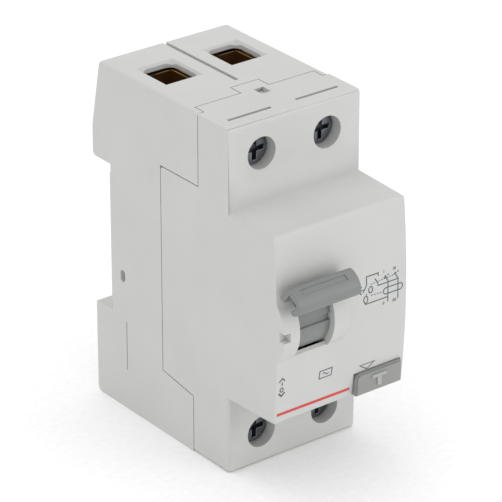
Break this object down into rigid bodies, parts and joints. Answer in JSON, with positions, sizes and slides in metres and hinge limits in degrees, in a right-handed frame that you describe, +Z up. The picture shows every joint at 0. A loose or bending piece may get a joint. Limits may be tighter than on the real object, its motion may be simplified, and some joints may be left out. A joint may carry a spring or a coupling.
{
  "type": "residual current device",
  "caption": "Two-module, two-pole residual current device for a 35 mm rail, with toggle, test button, screw clamps and internal contact and trip mechanism.",
  "frame": {"origin": "centre of the rail seat face at the back of the housing", "axes": "+Z up the long side, +X across the width, +Y backwards into the rail; the front faces -Y"},
  "size_m": [0.036, 0.0743, 0.0838],
  "materials": {
    "housing": "moulded, fine matt texture",
    "handle": "moulded, satin grey",
    "button": "moulded, satin grey",
    "black_plastic": "moulded, matt",
    "natural_plastic": "moulded, matt",
    "relay_plastic": "moulded, satin",
    "steel": "bright zinc plated",
    "dark_steel": "dark passivated",
    "spring_steel": "drawn wire",
    "copper": "rolled copper strip",
    "bronze": "rolled bronze, passivated",
    "core_metal": "wound soft-magnetic tape",
    "enamel_wire": "enamelled copper wire",
    "blue_insulation": "smooth wire insulation",
    "brown_insulation": "smooth wire insulation",
    "resistor_body": "lacquered"
  },
  "bodies": {
    "housing": {"rear_base": "housing", "front_cover": "housing", "rail_clip_spring": "spring_steel", "toggle_axle": "steel", "toggle_spring": "spring_steel", "contact_axle": "steel", "opening_spring": "spring_steel", "line_strip_left": "copper", "line_strip_right": "copper", "load_strip_left": "copper", "load_strip_right": "copper", "flexible_lead_left": "brown_insulation", "flexible_lead_right": "blue_insulation", "transformer_case": "natural_plastic", "transformer_lid": "natural_plastic", "transformer_core": "core_metal", "transformer_winding": "enamel_wire", "secondary_leads": "blue_insulation", "relay_case": "relay_plastic", "relay_lid": "black_plastic", "relay_yoke": "dark_steel", "relay_coil": "enamel_wire", "relay_spring": "spring_steel", "trip_axle": "steel", "test_button_spring": "spring_steel", "test_blade": "bronze", "test_resistor": "resistor_body", "test_lead": "brown_insulation"},
    "toggle": {"toggle_lever": "handle", "crank_pin": "steel"},
    "link": {"toggle_link": "dark_steel"},
    "contact_shaft": {"latch_lever": "dark_steel", "latch_pin": "steel", "contact_carrier": "black_plastic", "moving_contact_left": "copper", "moving_contact_right": "copper", "contact_spring_left": "spring_steel", "contact_spring_right": "spring_steel"},
    "trip_lever_body": {"trip_lever": "natural_plastic"},
    "plunger": {"relay_plunger": "steel"},
    "button": {"test_button": "button"},
    "clip": {"rail_clip": "black_plastic"},
    "screw_top_left": {"terminal_screw_top_left": "dark_steel"},
    "clamp_top_left": {"terminal_clamp_top_left": "bronze"},
    "screw_top_right": {"terminal_screw_top_right": "dark_steel"},
    "clamp_top_right": {"terminal_clamp_top_right": "bronze"},
    "screw_bottom_left": {"terminal_screw_bottom_left": "dark_steel"},
    "clamp_bottom_left": {"terminal_clamp_bottom_left": "bronze"},
    "screw_bottom_right": {"terminal_screw_bottom_right": "dark_steel"},
    "clamp_bottom_right": {"terminal_clamp_bottom_right": "bronze"}
  },
  "joints": [
    {"name": "toggle_turn", "type": "hinge", "parent": "housing", "child": "toggle", "pos_m": [-0.009, -0.0534, 0], "axis": [1, 0, 0], "range_deg": [0, 72], "deforming": ["toggle_spring"]},
    {"name": "link_turn", "type": "hinge", "parent": "toggle", "child": "link", "pos_m": [-0.009, -0.04951, -0.00315], "axis": [1, 0, 0], "range_deg": [-71, 0]},
    {"name": "contact_turn", "type": "hinge", "parent": "housing", "child": "contact_shaft", "pos_m": [0, -0.03, 0.01], "axis": [1, 0, 0], "range_deg": [-22, 0], "deforming": ["opening_spring"]},
    {"name": "trip_turn", "type": "hinge", "parent": "housing", "child": "trip_lever_body", "pos_m": [0, -0.047, 0.0183], "axis": [1, 0, 0], "range_deg": [0, 18]},
    {"name": "plunger_slide", "type": "slide", "parent": "housing", "child": "plunger", "axis": [0, 0, 1], "range_m": [0, 0.0015], "deforming": ["relay_spring"]},
    {"name": "test_press", "type": "slide", "parent": "housing", "child": "button", "axis": [0, 1, 0], "range_m": [0, 0.0013], "stiffness_N_per_m": 1500, "springref_m": -0.0006, "deforming": ["test_button_spring"]},
    {"name": "clip_slide", "type": "slide", "parent": "housing", "child": "clip", "axis": [0, 0, -1], "range_m": [0, 0.0035], "stiffness_N_per_m": 1200, "springref_m": -0.001, "deforming": ["rail_clip_spring"]},
    {"name": "screw_top_left_turn", "type": "hinge", "parent": "housing", "child": "screw_top_left", "pos_m": [-0.009, -0.034, 0.0341], "axis": [0, 1, 0], "range_deg": [0, 2880]},
    {"name": "clamp_top_left_slide", "type": "slide", "parent": "housing", "child": "clamp_top_left", "axis": [0, -1, 0], "range_m": [0, 0.0064]},
    {"name": "screw_top_right_turn", "type": "hinge", "parent": "housing", "child": "screw_top_right", "pos_m": [0.009, -0.034, 0.0341], "axis": [0, 1, 0], "range_deg": [0, 2880]},
    {"name": "clamp_top_right_slide", "type": "slide", "parent": "housing", "child": "clamp_top_right", "axis": [0, -1, 0], "range_m": [0, 0.0064]},
    {"name": "screw_bottom_left_turn", "type": "hinge", "parent": "housing", "child": "screw_bottom_left", "pos_m": [-0.009, -0.034, -0.0341], "axis": [0, 1, 0], "range_deg": [0, 2880]},
    {"name": "clamp_bottom_left_slide", "type": "slide", "parent": "housing", "child": "clamp_bottom_left", "axis": [0, -1, 0], "range_m": [0, 0.0064]},
    {"name": "screw_bottom_right_turn", "type": "hinge", "parent": "housing", "child": "screw_bottom_right", "pos_m": [0.009, -0.034, -0.0341], "axis": [0, 1, 0], "range_deg": [0, 2880]},
    {"name": "clamp_bottom_right_slide", "type": "slide", "parent": "housing", "child": "clamp_bottom_right", "axis": [0, -1, 0], "range_m": [0, 0.0064]}
  ],
  "couplings": [
    {"joint": "contact_turn", "follows": "toggle_turn", "ratio": -0.3},
    {"joint": "link_turn", "follows": "toggle_turn", "ratio": -0.97639},
    {"joint": "trip_turn", "follows": "plunger_slide", "rad_per_m": 209.23},
    {"joint": "screw_top_left_turn", "follows": "clamp_top_left_slide", "rad_per_m": 7854},
    {"joint": "screw_top_right_turn", "follows": "clamp_top_right_slide", "rad_per_m": 7854},
    {"joint": "screw_bottom_left_turn", "follows": "clamp_bottom_left_slide", "rad_per_m": 7854},
    {"joint": "screw_bottom_right_turn", "follows": "clamp_bottom_right_slide", "rad_per_m": 7854}
  ]
}
